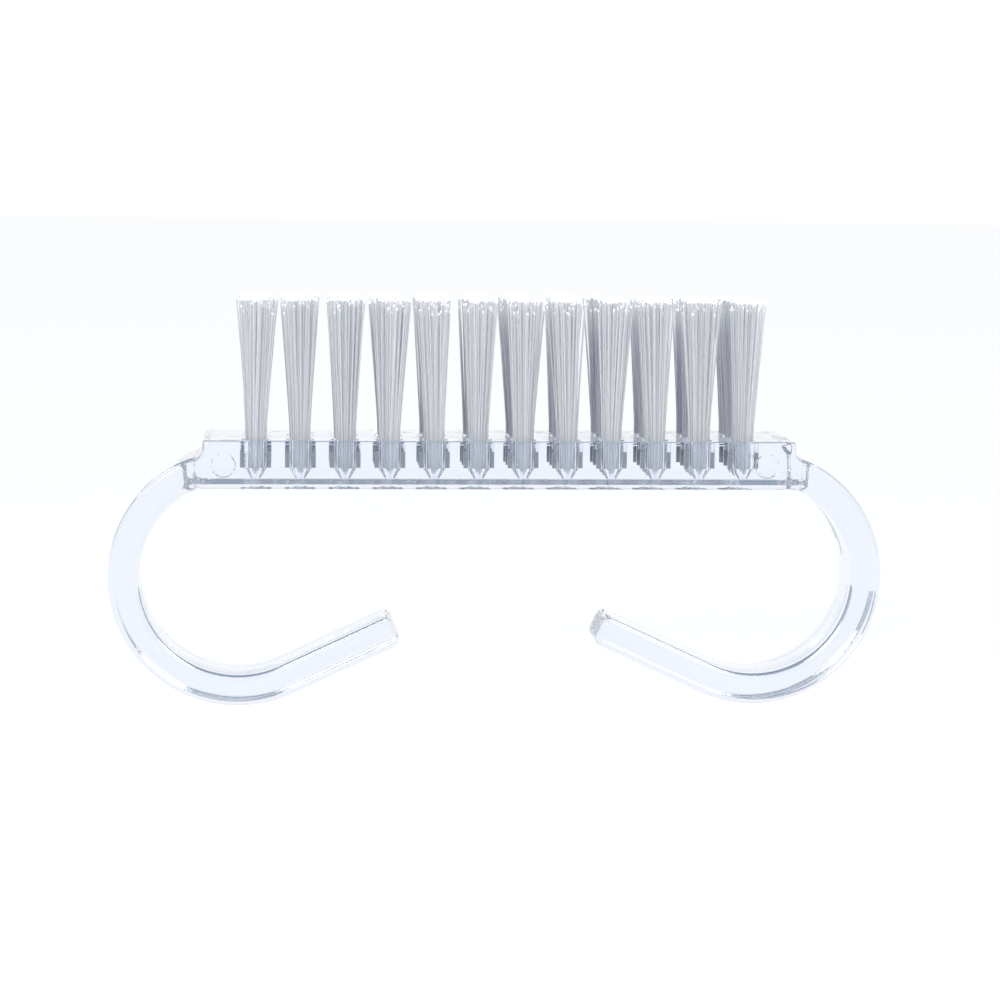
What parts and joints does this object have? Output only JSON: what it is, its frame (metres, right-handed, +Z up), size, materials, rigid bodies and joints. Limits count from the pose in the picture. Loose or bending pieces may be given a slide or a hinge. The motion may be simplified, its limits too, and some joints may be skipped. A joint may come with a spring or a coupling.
{
  "type": "acrylic nail brush",
  "caption": "Clear acrylic nail brush: a straight bar with a curled finger hook under each end and upright tufts of clear nylon bristles stapled into blind holes.",
  "frame": {"origin": "under the middle of the bar, level with the lowest points of the two hooks", "axes": "+X along the bar, +Y across it from front to back, +Z up from the hooks to the bristle tips"},
  "size_m": [0.0952, 0.0152, 0.0501],
  "materials": {
    "acrylic": "clear polished acrylic",
    "bristle": "clear nylon filament, trimmed flat",
    "anchor": "plain flattened wire"
  },
  "bodies": {
    "root": {"body": "acrylic", "tuft_front_01": "bristle", "tuft_front_02": "bristle", "tuft_front_03": "bristle", "tuft_front_04": "bristle", "tuft_front_05": "bristle", "tuft_front_06": "bristle", "tuft_front_07": "bristle", "tuft_front_08": "bristle", "tuft_front_09": "bristle", "tuft_front_10": "bristle", "tuft_front_11": "bristle", "tuft_front_12": "bristle", "tuft_middle_01": "bristle", "tuft_middle_02": "bristle", "tuft_middle_03": "bristle", "tuft_middle_04": "bristle", "tuft_middle_05": "bristle", "tuft_middle_06": "bristle", "tuft_middle_07": "bristle", "tuft_middle_08": "bristle", "tuft_middle_09": "bristle", "tuft_middle_10": "bristle", "tuft_middle_11": "bristle", "tuft_middle_12": "bristle", "tuft_back_01": "bristle", "tuft_back_02": "bristle", "tuft_back_03": "bristle", "tuft_back_04": "bristle", "tuft_back_05": "bristle", "tuft_back_06": "bristle", "tuft_back_07": "bristle", "tuft_back_08": "bristle", "tuft_back_09": "bristle", "tuft_back_10": "bristle", "tuft_back_11": "bristle", "tuft_back_12": "bristle", "anchors_front": "anchor", "anchors_middle": "anchor", "anchors_back": "anchor"}
  },
  "joints": []
}
